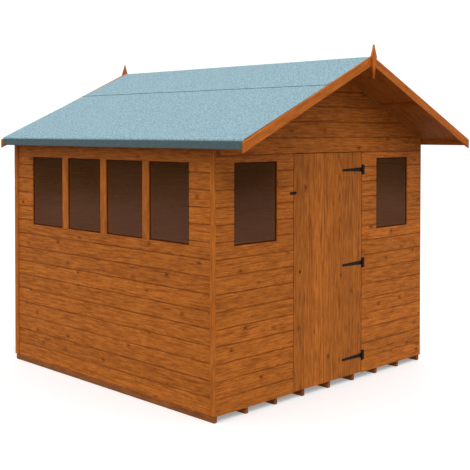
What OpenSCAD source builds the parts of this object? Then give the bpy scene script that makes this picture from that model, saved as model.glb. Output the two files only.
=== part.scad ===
// Wooden garden shed: shiplap walls on bearers, an apex roof with a front canopy,
// four windows in the left side, two beside the door, and a ledged and braced door.
// X runs right along the front, Y towards the back, Z up. The origin is under the
// middle of the whole length, on the ground.

/* [Walls] */
// Width over the corner trims
wall_w = 2400; // [2000:10:3000]
// Depth from the front boards to the back boards
wall_d = 2400; // [2300:10:3000]
// Height of the roof boards' underside over the outside of the side trims
eaves_z = 1875; // [1850:5:2300]
// Thickness of the shiplap boards
clad_t = 12; // [9:0.5:20]
// Depth of the wall battens behind the boards
frame_t = 28; // [20:1:60]
// Width of the wall battens
frame_w = 34; // [25:1:60]
// Thickness of the corner trims
trim_t = 12; // [8:1:20]
// Width of the corner trims
trim_w = 44; // [30:1:80]

/* [Floor] */
// Number of bearers
bearer_n = 9; // [5:1:12]
// Width of a bearer
bearer_w = 28; // [20:1:60]
// Height of a bearer
bearer_h = 45; // [30:1:80]
// How far the outer bearers stand in from the trims
bearer_side_inset = 6; // [2:1:40]
// How far the bearers' ends stand in from the front and back boards
bearer_end_inset = 10; // [2:1:40]
// Thickness of the floor boards
floor_t = 12; // [9:1:25]

/* [Door] */
// Width of the door leaf
door_w = 796; // [650:1:960]
// Height of the door leaf
door_h = 1697; // [1400:1:1750]
// How far the doorway stands to the right of the middle
door_offset = -16.5; // [-100:0.5:100]
// Gap around the door leaf
door_gap = 5; // [5:0.5:10]
// Height of the door leaf's bottom edge over the bearers
door_lift = 7; // [6:0.5:10]
// Thickness of the ledges and braces
ledge_t = 20; // [15:1:30]
// Height of a ledge
ledge_h = 90; // [60:1:120]
// Width of a brace
brace_w = 70; // [50:1:100]
// How far the ledges stop short of the leaf's edges
ledge_inset = 40; // [35:1:80]
// How far the stops lap behind the leaf
stop_lap = 12; // [8:1:20]

/* [Ironwork] */
// Height of the top and bottom hinges' middle from the leaf's ends
hinge_inset = 131; // [100:1:200]
// Length of a hinge strap from the pin
strap_l = 243; // [180:1:320]
// Height of a strap at its root
strap_root_h = 31; // [26:1:40]
// Height of a strap at its tip
strap_tip_h = 16; // [10:1:24]
// Thickness of the hinge straps and plates
iron_t = 2.5; // [2:0.1:2.6]
// Height of a hinge's frame plate
plate_h = 75; // [60:1:110]
// Width of a hinge's frame plate
plate_w = 34; // [24:1:50]
// Radius of a hinge knuckle
knuckle_r = 6; // [5:0.5:8]
// Radius of a hinge pin
pin_r = 3; // [2:0.1:4]
// Height of the hasp's middle above the door leaf's bottom edge
hasp_up = 1421; // [1000:1:1500]
// Height of the hasp's plate and leaf
hasp_h = 18; // [18:1:40]
// Length of the hasp leaf from its pin
hasp_l = 50; // [48:1:90]
// Height of the keyhole's middle above the door leaf's bottom edge
keyhole_up = 853; // [700:1:1100]
// Distance of the keyhole's middle from the leaf's free edge
keyhole_in = 68; // [40:1:100]

/* [Windows] */
// Height of the windows' bottom edge
window_z = 1147; // [900:1:1200]
// Height of a window
window_h = 555; // [400:1:600]
// Width of each front window
front_window_w = 427; // [300:1:460]
// Number of windows in the left side
side_window_n = 4; // [1:1:5]
// Width of each side window
side_window_w = 420; // [300:1:430]
// Width of the uprights between the side windows
mullion_w = 69; // [60:1:120]
// Thickness of the glass
glass_t = 3; // [2:0.5:6]
// How far the glass laps behind the edges of its opening
glass_lap = 5; // [3:1:10]
// Width of the glazing beads
bead_w = 20; // [14:1:26]
// Thickness of the glazing beads
bead_t = 12; // [8:1:14]

/* [Roof] */
// Slope of the roof in degrees
roof_pitch = 24.6; // [15:0.1:35]
// How far the roof boards reach past the side trims
side_overhang = 100; // [60:1:200]
// How far the roof boards reach past the front wall
front_overhang = 360; // [200:1:500]
// How far the roof boards reach past the back wall
back_overhang = 0; // [0:1:100]
// Thickness of the roof boards
board_t = 12; // [9:1:20]
// Width of the purlins and eaves battens
purlin_w = 28; // [20:1:60]
// Depth of the purlins
purlin_h = 45; // [35:1:80]
// Distance of the side purlins from the ridge, measured level
purlin_out = 620; // [500:1:700]
// Depth of the strips under the roof on the front gable
strip_h = 34; // [20:1:42]
// Thickness of the strips on the front gable
strip_t = 12; // [8:1:20]
// Thickness of the roofing felt
felt_t = 3; // [2:0.5:5]
// Width of the felt over the ridge, measured down one slope
ridge_felt_l = 546; // [300:1:600]
// How far the ridge felt laps over the side felt
felt_lap = 50; // [30:1:100]
// How far the felt and the eaves batten hang below the roof boards' ends
eaves_drop = 32; // [25:1:60]
// Thickness of the barge boards
barge_t = 16; // [12:1:25]
// Depth of the barge boards, measured upright
barge_h = 67; // [50:1:110]
// How far the barge boards' top edge stands above the felt
barge_rise = 5; // [2:1:15]
// How far the barge boards reach past the roof boards at the eaves
barge_reach = 18; // [8:1:40]
// Thickness of the finials
finial_t = 16; // [10:1:30]
// Width of the finials
finial_w = 60; // [40:1:90]
// Height of a finial above its widest place
finial_up = 88; // [50:1:150]
// Depth of a finial below its widest place
finial_down = 157; // [80:1:200]

/* [Hidden] */
$fn = 48;
seat = 0.3;                     // gap between separate pieces that rest on each other
slope_seat = 0.1;               // upright gap between faces that meet on the roof's slope
cut = 1;                        // how far a cutter runs past a face
notch_gap = 0.5;                // room around a purlin in the front gable
purlin_apart = 2;               // distance of a ridge purlin from the ridge
lap_ramp = 12;                  // length over which the ridge felt steps up onto the side felt
stop_gap = 5;                   // room behind the door leaf
knuckle_h = 26;                 // height of the strap's knuckle
knuckle_gap = 0.5;              // room above and below a knuckle
pin_gap = 0.05;                 // radial room around a pin
knuckle_off = 1;                // room between a hinge's knuckle and the boards
neck_room = 2;                  // room around a hinge's knuckle in its plate
finial_sink = 4;                // depth of a finial's widest place below the ridge
hasp_pin_in = 6;                // distance of the hasp's pin from the leaf's edge
hasp_pin_off = 6;               // distance of the hasp's pin from the boards
hasp_pin_r = 1.5;
hasp_knuckle_r = 4;
hasp_knuckle_h = 7;
hasp_neck_room = 1;
hasp_leaf_t = 2;
hasp_plate_l = 28;              // reach of the hasp's plate from the leaf's edge
staple_wire = 3;
staple_w = 13;
staple_out = 17;
staple_in = 34;                 // distance of the staple from the hasp's pin
slot_w = 19;
slot_h = 7;
keyhole_r = 8;
keyhole_rise = 5;               // half the straight height of the keyhole plate
keyhole_t = 1.5;

half_w = wall_w / 2;
front_y = -(wall_d + back_overhang - front_overhang) / 2;
back_y = front_y + wall_d;
clad_x = half_w - trim_t;
frame_x = clad_x - clad_t;
room_x = frame_x - frame_t;
frame_front = front_y + clad_t;
room_front = frame_front + frame_t;
frame_back = back_y - clad_t;
room_back = frame_back - frame_t;
floor_z = bearer_h + floor_t;
bearer_pitch = (wall_w - 2 * bearer_side_inset - bearer_w) / (bearer_n - 1);

slope = tan(roof_pitch);
board_v = board_t / cos(roof_pitch);
felt_v = felt_t / cos(roof_pitch);
ridge_z = eaves_z + slope * half_w + board_v + felt_v;
roof_x = half_w + side_overhang;
roof_front = front_y - front_overhang;
roof_back = back_y + back_overhang;
lap_out = ridge_felt_l * cos(roof_pitch);
lap_in = lap_out - felt_lap * cos(roof_pitch);
plate_under = carrier_z(frame_x) - frame_w - purlin_h;

doorway_w = door_w + 2 * door_gap;
doorway_l = door_offset - doorway_w / 2;
doorway_r = door_offset + doorway_w / 2;
door_l = doorway_l + door_gap;
door_r = doorway_r - door_gap;
door_z = bearer_h + door_lift;
door_top = door_z + door_h;
head_z = door_top + door_gap;
hinge_x = door_r + door_gap / 2;
hinge_y = front_y - knuckle_r - knuckle_off;
hinge_zs = [door_z + hinge_inset, door_z + door_h / 2, door_top - hinge_inset];
hasp_x = door_l + hasp_pin_in;
hasp_y = front_y - hasp_pin_off;
hasp_z = door_z + hasp_up;
staple_x = hasp_x - staple_in;

window_top = window_z + window_h;
left_window_x = (doorway_l - clad_x) / 2;
right_window_x = (doorway_r + clad_x) / 2;
side_pitch = side_window_w + mullion_w;
side_windows_l = side_window_n * side_pitch - mullion_w;
side_windows_y = (front_y + back_y - side_windows_l) / 2;
pane_lap = glass_lap - seat;

wood = "#A85C28";
pale_wood = "#B8682C";
dark_wood = "#7A4420";
felt = "#9DBBC7";
iron = "#1C1A1A";
pane = "#503830";

// Height of the roof's faces at a level distance from the ridge
function roof_z(out) = ridge_z - slope * out;
function boards_top(out) = roof_z(out) - felt_v;
function boards_under(out) = boards_top(out) - board_v;

// Height of the faces that carry the roof boards, and of those that lie on them
function carrier_z(out) = boards_under(out) - slope_seat;
function felt_under(out) = boards_top(out) + slope_seat;

// A block from its lowest to its highest corner
module block(x0, x1, y0, y1, z0, z1) {
    translate([x0, y0, z0]) cube([x1 - x0, y1 - y0, z1 - z0]);
}

// A drawing in X and Z, given a length from y0 to y1
module along_y(y0, y1) {
    translate([0, y1, 0]) rotate([90, 0, 0]) linear_extrude(y1 - y0) children();
}

// A band that follows the roof's slope from out0 to out1, hung between two heights
// given as drops from the face that carries the roof boards
module slope_band(out0, out1, drop0, drop1) {
    polygon([
        [out0, carrier_z(out0) - drop0], [out1, carrier_z(out1) - drop0],
        [out1, carrier_z(out1) - drop1], [out0, carrier_z(out0) - drop1]
    ]);
}

// Both halves of a drawing, mirrored about the ridge
module both_sides() {
    children();
    mirror([1, 0]) children();
}

module floor_bearers() {
    color(dark_wood)
    for (i = [0 : bearer_n - 1]) {
        x = -half_w + bearer_side_inset + i * bearer_pitch;
        block(x, x + bearer_w, front_y + bearer_end_inset, back_y - bearer_end_inset, 0, bearer_h);
    }
}

module floor_boards() {
    color(wood)
    block(-frame_x + seat, frame_x - seat, frame_front + stop_gap, frame_back - seat,
        bearer_h, floor_z);
}

// A front panel beside the doorway, with its window cut through
module front_panel(x0, x1, window_x) {
    color(wood)
    difference() {
        block(x0, x1, front_y, frame_front, bearer_h, head_z);
        block(window_x - front_window_w / 2, window_x + front_window_w / 2,
            front_y - cut, frame_front + cut, window_z, window_top);
    }
}

module front_wall_left() { front_panel(-clad_x, doorway_l, left_window_x); }

module front_wall_right() { front_panel(doorway_r, clad_x, right_window_x); }

// The outline of a gable wall from a base height up to the roof boards
module gable_outline(base_z) {
    polygon([
        [-clad_x, base_z], [clad_x, base_z], [clad_x, carrier_z(clad_x)],
        [0, carrier_z(0)], [-clad_x, carrier_z(clad_x)]
    ]);
}

module front_wall_gable() {
    color(wood)
    along_y(front_y, frame_front) difference() {
        gable_outline(head_z);
        both_sides() {
            slope_band(-cut, purlin_apart + purlin_w + notch_gap, -cut, purlin_h + notch_gap);
            slope_band(purlin_out - notch_gap, purlin_out + purlin_w + notch_gap,
                -cut, purlin_h + notch_gap);
        }
    }
}

module back_wall() {
    color(wood)
    along_y(frame_back, back_y) gable_outline(bearer_h);
}

// The upper edge of a side wall follows the underside of the roof boards
module side_outline(base_z) {
    polygon([
        [frame_x, base_z], [clad_x, base_z],
        [clad_x, carrier_z(clad_x)], [frame_x, carrier_z(frame_x)]
    ]);
}

module left_wall_lower() {
    color(wood)
    block(-clad_x, -frame_x, frame_front, frame_back, bearer_h, window_z);
}

module left_wall_ends() {
    color(wood) {
        block(-clad_x, -frame_x, frame_front, side_windows_y, window_z, window_top);
        block(-clad_x, -frame_x, side_windows_y + side_windows_l, frame_back,
            window_z, window_top);
    }
}

module left_wall_mullions() {
    color(wood)
    for (i = [1 : 1 : side_window_n - 1]) {
        y = side_windows_y + i * side_pitch - mullion_w;
        block(-clad_x, -frame_x, y, y + mullion_w, window_z, window_top);
    }
}

module left_wall_header() {
    color(wood)
    along_y(frame_front, frame_back) mirror([1, 0]) side_outline(window_top);
}

module right_wall() {
    color(wood)
    along_y(frame_front, frame_back) side_outline(bearer_h);
}

module corner_trims() {
    color(pale_wood)
    for (y = [front_y, back_y - trim_w]) along_y(y, y + trim_w) both_sides()
        polygon([
            [clad_x, bearer_h], [half_w, bearer_h],
            [half_w, carrier_z(half_w)], [clad_x, carrier_z(clad_x)]
        ]);
}

// Battens behind a front panel: two posts, and a sill and head rail at the window
module front_panel_frame(x0, x1, window_x) {
    post_z0 = floor_z;
    window_l = window_x - front_window_w / 2 - glass_lap;
    window_r = window_x + front_window_w / 2 + glass_lap;
    for (x = [x0, window_l - frame_w, window_r, x1 - frame_w])
        block(x, x + frame_w, frame_front, room_front, post_z0, head_z);
    for (z = [window_z - glass_lap - frame_w, window_top + glass_lap])
        block(window_l + seat, window_r - seat, frame_front, room_front, z, z + frame_w);
}

// Sloping battens under the purlins of a gable, and a level tie across it
module gable_frame(y0, y1) {
    tie_z = head_z + seat;
    rafter_h = frame_w / cos(roof_pitch);
    rafter_drop = purlin_h + slope_seat;
    block(-frame_x, frame_x, y0, y1, tie_z, tie_z + frame_w);
    along_y(y0, y1) both_sides()
        slope_band(seat / 2, frame_x - frame_w, rafter_drop, rafter_drop + rafter_h);
    block(-frame_w / 2, frame_w / 2, y0, y1, tie_z + frame_w + seat,
        carrier_z(frame_w / 2) - rafter_drop - rafter_h - seat);
}

module front_frame() {
    color(dark_wood) {
        front_panel_frame(-frame_x, doorway_l, left_window_x);
        front_panel_frame(doorway_r, frame_x, right_window_x);
        gable_frame(frame_front, room_front);
    }
}

module back_frame() {
    rails = [floor_z, (floor_z + head_z) / 2];
    posts = [-frame_x, -frame_x / 3, frame_x / 3 - frame_w, frame_x - frame_w];
    color(dark_wood) {
        for (x = posts) block(x, x + frame_w, room_back, frame_back, floor_z, head_z);
        for (z = rails, i = [0 : len(posts) - 2])
            block(posts[i] + frame_w + seat, posts[i + 1] - seat, room_back, frame_back,
                z, z + frame_w);
        gable_frame(room_back, frame_back);
    }
}

// The top plate of a side wall, with its upper face cut to the roof's slope
module side_plate() {
    along_y(room_front + seat, room_back - seat)
        polygon([
            [room_x, plate_under], [frame_x, plate_under],
            [frame_x, carrier_z(frame_x)], [room_x, carrier_z(room_x)]
        ]);
}

// A side wall's post, from the floor to the top plate
module side_post(y, width) {
    block(room_x, frame_x, y, y + width, floor_z, plate_under - seat);
}

module right_frame() {
    bays = 4;
    bay_l = (room_back - room_front - 2 * seat - frame_w) / bays;
    rail_z = (floor_z + eaves_z) / 2;
    color(dark_wood) {
        side_plate();
        for (i = [0 : bays]) side_post(room_front + seat + i * bay_l, frame_w);
        for (i = [0 : bays - 1]) {
            y = room_front + seat + i * bay_l + frame_w + seat;
            block(room_x, frame_x, y, y + bay_l - frame_w - 2 * seat, rail_z, rail_z + frame_w);
        }
    }
}

module left_frame() {
    color(dark_wood) mirror([1, 0, 0]) {
        side_plate();
        side_post(room_front + seat, frame_w);
        side_post(room_back - seat - frame_w, frame_w);
        side_post(side_windows_y - glass_lap - frame_w, frame_w);
        side_post(side_windows_y + side_windows_l + glass_lap, frame_w);
        for (i = [1 : 1 : side_window_n - 1])
            side_post(side_windows_y + i * side_pitch - mullion_w + glass_lap,
                mullion_w - 2 * glass_lap);
        for (i = [0 : side_window_n - 1],
            z = [window_z - glass_lap - frame_w, window_top + glass_lap]) {
            y = side_windows_y + i * side_pitch - pane_lap;
            block(room_x, frame_x, y, y + side_window_w + 2 * pane_lap, z, z + frame_w);
        }
    }
}

// A pane directly behind the front's boards, between the battens round its window
module pane_front(window_x) {
    half = front_window_w / 2 + pane_lap;
    color(pane)
    block(window_x - half, window_x + half, frame_front, frame_front + glass_t,
        window_z - pane_lap, window_top + pane_lap);
}

module front_window_left_glass() { pane_front(left_window_x); }

module front_window_right_glass() { pane_front(right_window_x); }

module side_windows_glass() {
    color(pane)
    for (i = [0 : side_window_n - 1]) {
        y = side_windows_y + i * side_pitch;
        block(-frame_x, -frame_x + glass_t, y - pane_lap, y + side_window_w + pane_lap,
            window_z - pane_lap, window_top + pane_lap);
    }
}

// Four beads behind the edge of a pane for a window of width w, lying in X and Z on y = 0
module bead_ring(w) {
    half = w / 2 + pane_lap;
    low = window_z - pane_lap;
    high = window_top + pane_lap;
    for (x = [-half, half - bead_w])
        block(x, x + bead_w, 0, bead_t, low + bead_w + seat, high - bead_w - seat);
    for (z = [low, high - bead_w])
        block(-half, half, 0, bead_t, z, z + bead_w);
}

module window_beads() {
    color(pale_wood) {
        for (x = [left_window_x, right_window_x])
            translate([x, frame_front + glass_t, 0]) bead_ring(front_window_w);
        for (i = [0 : side_window_n - 1])
            translate([-frame_x + glass_t, side_windows_y + i * side_pitch + side_window_w / 2, 0])
                rotate([0, 0, -90]) bead_ring(side_window_w);
    }
}

// Two upright stops and a head stop behind the leaf's edges
module door_stops() {
    stop_w = door_gap + stop_lap;
    stop_y = frame_front + stop_gap;
    color(dark_wood) {
        block(doorway_l, doorway_l + stop_w, stop_y, room_front, floor_z, head_z - stop_w - seat);
        block(doorway_r - stop_w, doorway_r, stop_y, room_front, floor_z, head_z - stop_w - seat);
        block(doorway_l, doorway_r, stop_y, room_front, head_z - stop_w, head_z);
    }
}

module door_boards() {
    color(wood)
    block(door_l, door_r, front_y, frame_front, door_z, door_top);
}

// Three ledges behind the hinges, and braces rising from the hinge side
module door_ledges() {
    l = door_l + ledge_inset;
    r = door_r - ledge_inset;
    color(pale_wood) {
        for (z = hinge_zs)
            block(l, r, frame_front, frame_front + ledge_t, z - ledge_h / 2, z + ledge_h / 2);
        for (i = [0, 1]) {
            z0 = hinge_zs[i] + ledge_h / 2 + seat;
            z1 = hinge_zs[i + 1] - ledge_h / 2 - seat;
            along_y(frame_front, frame_front + ledge_t)
                polygon([[r - brace_w, z0], [r, z0], [l + brace_w, z1], [l, z1]]);
        }
    }
}

// A tapering strap with the middle knuckle of its hinge, bored for the pin
module hinge_strap(z) {
    neck = knuckle_r + neck_room;
    neck_h = knuckle_h - 2 * knuckle_gap;
    tip_x = hinge_x - strap_l + strap_tip_h / 2;
    color(iron) difference() {
        union() {
            along_y(front_y - iron_t, front_y) {
                polygon([
                    [tip_x, z - strap_tip_h / 2], [hinge_x - neck, z - strap_root_h / 2],
                    [hinge_x - neck, z + strap_root_h / 2], [tip_x, z + strap_tip_h / 2]
                ]);
                translate([tip_x, z]) circle(d = strap_tip_h);
                translate([hinge_x - neck - cut, z - neck_h / 2]) square([neck + cut, neck_h]);
            }
            translate([hinge_x, hinge_y, z - neck_h / 2]) cylinder(h = neck_h, r = knuckle_r);
        }
        translate([hinge_x, hinge_y, z - knuckle_h]) cylinder(h = 2 * knuckle_h, r = pin_r + pin_gap);
    }
}

module hinge_strap_top() { hinge_strap(hinge_zs[2]); }

module hinge_strap_middle() { hinge_strap(hinge_zs[1]); }

module hinge_strap_bottom() { hinge_strap(hinge_zs[0]); }

// The frame plate of a hinge, with the end knuckles and the pin
module hinge_plate(z) {
    end_h = (plate_h - knuckle_h) / 2;
    room = knuckle_r + neck_room;
    difference() {
        block(hinge_x, hinge_x + plate_w, front_y - iron_t, front_y, z - plate_h / 2, z + plate_h / 2);
        block(hinge_x - cut, hinge_x + room, front_y - iron_t - cut, front_y + cut,
            z - knuckle_h / 2, z + knuckle_h / 2);
    }
    for (z0 = [z - plate_h / 2, z + knuckle_h / 2])
        translate([hinge_x, hinge_y, z0]) cylinder(h = end_h, r = knuckle_r);
    translate([hinge_x, hinge_y, z - plate_h / 2]) cylinder(h = plate_h, r = pin_r);
}

module hinge_plates() {
    color(iron) for (z = hinge_zs) hinge_plate(z);
}

// The hasp's plate on the leaf of the door, with the end knuckles and the pin
module hasp_plate() {
    end_h = (hasp_h - hasp_knuckle_h) / 2;
    color(iron) {
        difference() {
            block(hasp_x, door_l + hasp_plate_l, front_y - iron_t, front_y,
                hasp_z - hasp_h / 2, hasp_z + hasp_h / 2);
            block(hasp_x - cut, hasp_x + hasp_knuckle_r + hasp_neck_room,
                front_y - iron_t - cut, front_y + cut,
                hasp_z - hasp_knuckle_h / 2, hasp_z + hasp_knuckle_h / 2);
        }
        for (z0 = [hasp_z - hasp_h / 2, hasp_z + hasp_knuckle_h / 2])
            translate([hasp_x, hasp_y, z0]) cylinder(h = end_h, r = hasp_knuckle_r);
        translate([hasp_x, hasp_y, hasp_z - hasp_h / 2]) cylinder(h = hasp_h, r = hasp_pin_r);
    }
}

// The hasp's slotted leaf, which lies over the staple
module hasp_leaf() {
    neck = hasp_knuckle_r + hasp_neck_room;
    neck_h = hasp_knuckle_h - 2 * knuckle_gap;
    color(iron) difference() {
        union() {
            along_y(hasp_y - hasp_leaf_t / 2, hasp_y + hasp_leaf_t / 2) difference() {
                union() {
                    translate([hasp_x - hasp_l, hasp_z - hasp_h / 2])
                        square([hasp_l - neck, hasp_h]);
                    translate([hasp_x - neck - cut, hasp_z - neck_h / 2])
                        square([neck + cut, neck_h]);
                }
                translate([staple_x - slot_w / 2, hasp_z - slot_h / 2]) square([slot_w, slot_h]);
            }
            translate([hasp_x, hasp_y, hasp_z - neck_h / 2])
                cylinder(h = neck_h, r = hasp_knuckle_r);
        }
        translate([hasp_x, hasp_y, hasp_z - hasp_h])
            cylinder(h = 2 * hasp_h, r = hasp_pin_r + pin_gap);
    }
}

// The staple on the wall, whose eye takes a padlock in front of the leaf
module hasp_staple() {
    color(iron) difference() {
        block(staple_x - staple_w / 2, staple_x + staple_w / 2, front_y - staple_out, front_y,
            hasp_z - staple_wire / 2, hasp_z + staple_wire / 2);
        block(staple_x - staple_w / 2 + staple_wire, staple_x + staple_w / 2 - staple_wire,
            front_y - staple_out + staple_wire, front_y + cut, hasp_z - staple_wire, hasp_z + staple_wire);
    }
}

module keyhole_plate() {
    x = door_l + keyhole_in;
    z = door_z + keyhole_up;
    color(iron)
    along_y(front_y - keyhole_t, front_y) {
        translate([x - keyhole_r, z - keyhole_rise]) square([2 * keyhole_r, 2 * keyhole_rise]);
        for (dz = [-keyhole_rise, keyhole_rise]) translate([x, z + dz]) circle(keyhole_r);
    }
}

// The boards of one slope, plumb cut at the eaves
module roof_slab() {
    color(wood)
    along_y(roof_front, roof_back) polygon([
        [0, boards_top(0)], [roof_x, boards_top(roof_x)],
        [roof_x, boards_under(roof_x)], [0, boards_under(0)]
    ]);
}

module roof_boards_right() { roof_slab(); }

module roof_boards_left() { mirror([1, 0, 0]) roof_slab(); }

module purlins() {
    color(dark_wood)
    along_y(roof_front, frame_back - seat) both_sides() {
        slope_band(purlin_apart, purlin_apart + purlin_w, 0, purlin_h);
        slope_band(purlin_out, purlin_out + purlin_w, 0, purlin_h);
    }
}

module eaves_battens() {
    inner = roof_x - purlin_w;
    drop_z = boards_under(roof_x) - eaves_drop;
    color(dark_wood)
    along_y(roof_front, roof_back) both_sides()
        polygon([
            [inner, drop_z], [roof_x, drop_z],
            [roof_x, carrier_z(roof_x)], [inner, carrier_z(inner)]
        ]);
}

module gable_strips() {
    color(dark_wood)
    along_y(front_y - strip_t, front_y) both_sides() {
        slope_band(purlin_apart + purlin_w + notch_gap, purlin_out - notch_gap, 0, strip_h);
        slope_band(purlin_out + purlin_w + notch_gap, clad_x, 0, strip_h);
    }
}

// The felt of one slope, turned down over the eaves
module side_felt() {
    edge = roof_x + felt_t;
    color(felt)
    along_y(roof_front, roof_back) polygon([
        [lap_in, roof_z(lap_in)], [edge, roof_z(edge)],
        [edge, boards_under(roof_x) - eaves_drop], [roof_x, boards_under(roof_x) - eaves_drop],
        [roof_x, felt_under(roof_x)], [lap_in, felt_under(lap_in)]
    ]);
}

module felt_right() { side_felt(); }

module felt_left() { mirror([1, 0, 0]) side_felt(); }

// The felt over the ridge, stepped up where it laps over the side felt
module felt_ridge() {
    step = lap_in - lap_ramp;
    under = [
        [lap_out, roof_z(lap_out) + slope_seat],
        [lap_in - seat, roof_z(lap_in - seat) + slope_seat],
        [step, felt_under(step)]
    ];
    over = [
        [step, roof_z(step)], [lap_in, roof_z(lap_in) + felt_v], [lap_out, roof_z(lap_out) + felt_v]
    ];
    color(felt)
    along_y(roof_front, roof_back) polygon(concat(
        [[0, roof_z(0)]], over, under, [[0, felt_under(0)]],
        [for (i = [2 : -1 : 0]) [-under[i][0], under[i][1]]],
        [for (i = [2 : -1 : 0]) [-over[i][0], over[i][1]]]
    ));
}

// One barge board, plumb cut at the ridge and at the eaves
module barge_board(y) {
    out = roof_x + barge_reach;
    top = barge_rise + felt_v;
    color(pale_wood)
    along_y(y, y + barge_t) polygon([
        [0, boards_top(0) + top], [out, boards_top(out) + top],
        [out, boards_top(out) + top - barge_h], [0, boards_top(0) + top - barge_h]
    ]);
}

module barge_front_right() { barge_board(roof_front - barge_t); }

module barge_front_left() { mirror([1, 0, 0]) barge_board(roof_front - barge_t); }

module barge_back_right() { barge_board(roof_back); }

module barge_back_left() { mirror([1, 0, 0]) barge_board(roof_back); }

// A flat spike whose sides sweep in from its widest place to both tips
module finial(y) {
    steps = 8;
    bow = 1.25;
    mid_z = ridge_z - finial_sink;
    half = finial_w / 2;
    right_up = [for (i = [0 : steps]) [half * pow(1 - i / steps, bow), mid_z + finial_up * i / steps]];
    right_down = [for (i = [0 : steps - 1])
        [half * pow(i / steps, bow), mid_z - finial_down * (1 - i / steps)]];
    left = [for (i = [len(right_up) - 2 : -1 : 0]) [-right_up[i][0], right_up[i][1]]];
    left_down = [for (i = [len(right_down) - 1 : -1 : 1]) [-right_down[i][0], right_down[i][1]]];
    color(pale_wood)
    along_y(y, y + finial_t) polygon(concat(right_down, right_up, left, left_down));
}

module finial_front() { finial(roof_front - barge_t - finial_t); }

module finial_back() { finial(roof_back + barge_t); }

floor_bearers();
floor_boards();
front_wall_left();
front_wall_right();
front_wall_gable();
left_wall_lower();
left_wall_ends();
left_wall_mullions();
left_wall_header();
right_wall();
back_wall();
corner_trims();
front_frame();
left_frame();
right_frame();
back_frame();
front_window_left_glass();
front_window_right_glass();
side_windows_glass();
window_beads();
door_stops();
door_boards();
door_ledges();
hinge_strap_top();
hinge_strap_middle();
hinge_strap_bottom();
hinge_plates();
hasp_plate();
hasp_leaf();
hasp_staple();
keyhole_plate();
roof_boards_left();
roof_boards_right();
purlins();
eaves_battens();
gable_strips();
felt_left();
felt_right();
felt_ridge();
barge_front_left();
barge_front_right();
barge_back_left();
barge_back_right();
finial_front();
finial_back();
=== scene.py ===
# %% [markdown]
# # A wooden garden shed
# The shed stands on bearers. Its walls are shiplap boards, its door is vertical boards on ledges,
# and its roof is boards under mineral felt, carried out over the front as a canopy. The frame that
# loads here has every part at its real size. This lesson gives each part the boards, joints, nails
# and finishes that the real one has, and never changes a size. Lengths are in metres, X runs right
# along the front, Y runs to the back and Z runs up.

import bmesh
import bpy
import numpy as np
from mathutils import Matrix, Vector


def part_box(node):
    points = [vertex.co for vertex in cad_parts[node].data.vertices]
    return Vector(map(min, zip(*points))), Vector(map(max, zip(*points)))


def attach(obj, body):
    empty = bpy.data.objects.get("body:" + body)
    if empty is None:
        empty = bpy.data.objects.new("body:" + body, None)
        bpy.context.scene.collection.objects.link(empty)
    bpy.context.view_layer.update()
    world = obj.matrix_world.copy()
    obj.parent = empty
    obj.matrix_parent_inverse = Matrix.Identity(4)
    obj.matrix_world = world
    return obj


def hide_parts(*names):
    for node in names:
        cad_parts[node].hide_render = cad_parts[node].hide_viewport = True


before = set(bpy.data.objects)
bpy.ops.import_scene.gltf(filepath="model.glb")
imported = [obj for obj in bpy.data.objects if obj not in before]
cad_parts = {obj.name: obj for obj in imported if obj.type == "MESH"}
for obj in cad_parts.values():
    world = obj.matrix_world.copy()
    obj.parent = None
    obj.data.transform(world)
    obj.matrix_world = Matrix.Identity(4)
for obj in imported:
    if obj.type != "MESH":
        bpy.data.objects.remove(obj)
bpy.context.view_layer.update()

# %% [markdown]
# ## The camera
# The camera comes first. It stands off the front left corner at standing height, nearly level, so
# upright edges stay upright. A real camera with a shifting lens does the same, which is why a
# little shift is used here with a very small tilt.

# %% Place the camera
CAMERA_AT = (-5.289, -5.216, 1.908)
HEADING = np.radians(44.22)   # from straight back, towards the right
TILT = np.radians(1.25)       # downwards
SENSOR, LENS = 36, 69.33      # width of the sensor and focal length, in millimetres
SHIFT = (0.0451, -0.178)      # of the lens, in widths of the sensor

camera = bpy.data.objects.new("camera", bpy.data.cameras.new("camera"))
bpy.context.scene.collection.objects.link(camera)
camera.location = CAMERA_AT
camera.rotation_euler = (np.pi / 2 - TILT, 0, -HEADING)
camera.data.sensor_width, camera.data.lens = SENSOR, LENS
camera.data.shift_x, camera.data.shift_y = SHIFT
bpy.context.scene.camera = camera
print("camera", CAMERA_AT, "lens", camera.data.lens)

# %% [markdown]
# ## Where things are
# All places come from the frame's own boxes, so a board that is made here sits exactly where the
# design has it. These few numbers are read once and used by every step below.

# %% Read the main planes from the parts' boxes
def corners(node):
    """The lowest and highest corner of a part, as two arrays."""
    low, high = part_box(node)
    return np.array(low), np.array(high)


left_low, left_high = corners("left_wall_lower")
gable_low, gable_high = corners("front_wall_gable")
back_high = corners("back_wall")[1]
panel_low, panel_high = corners("front_wall_left")
right_panel_low, right_panel_high = corners("front_wall_right")
ends_high = corners("left_wall_ends")[1]
roof_low, roof_high = corners("roof_boards_right")
felt_low, felt_high = corners("felt_right")
door_low, door_high = corners("door_boards")

CLAD_X = gable_high[0]                    # outside of the side walls' boards
CLAD_T = gable_high[1] - gable_low[1]     # thickness of a wall board
FRONT_Y, BACK_Y = gable_low[1], back_high[1]
BASE_Z = panel_low[2]                     # underside of the walls
HEAD_Z = gable_low[2]                     # head of the doorway
APEX_Z = gable_high[2]                    # top of the gable's boards
WALL_TOP = corners("right_wall")[1][2]    # top of a side wall, at its inner face
FRAME_X = CLAD_X - CLAD_T
SLOPE = (APEX_Z - WALL_TOP) / FRAME_X     # rise of the roof over its level run
PITCH = np.arctan(SLOPE)
print("walls", 2 * CLAD_X, "by", BACK_Y - FRONT_Y, "roof pitch", np.degrees(PITCH))


def under_roof(out):
    """Height of the face that the roof boards lie on, at a level distance from the ridge."""
    return APEX_Z - SLOPE * np.abs(out)
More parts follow.
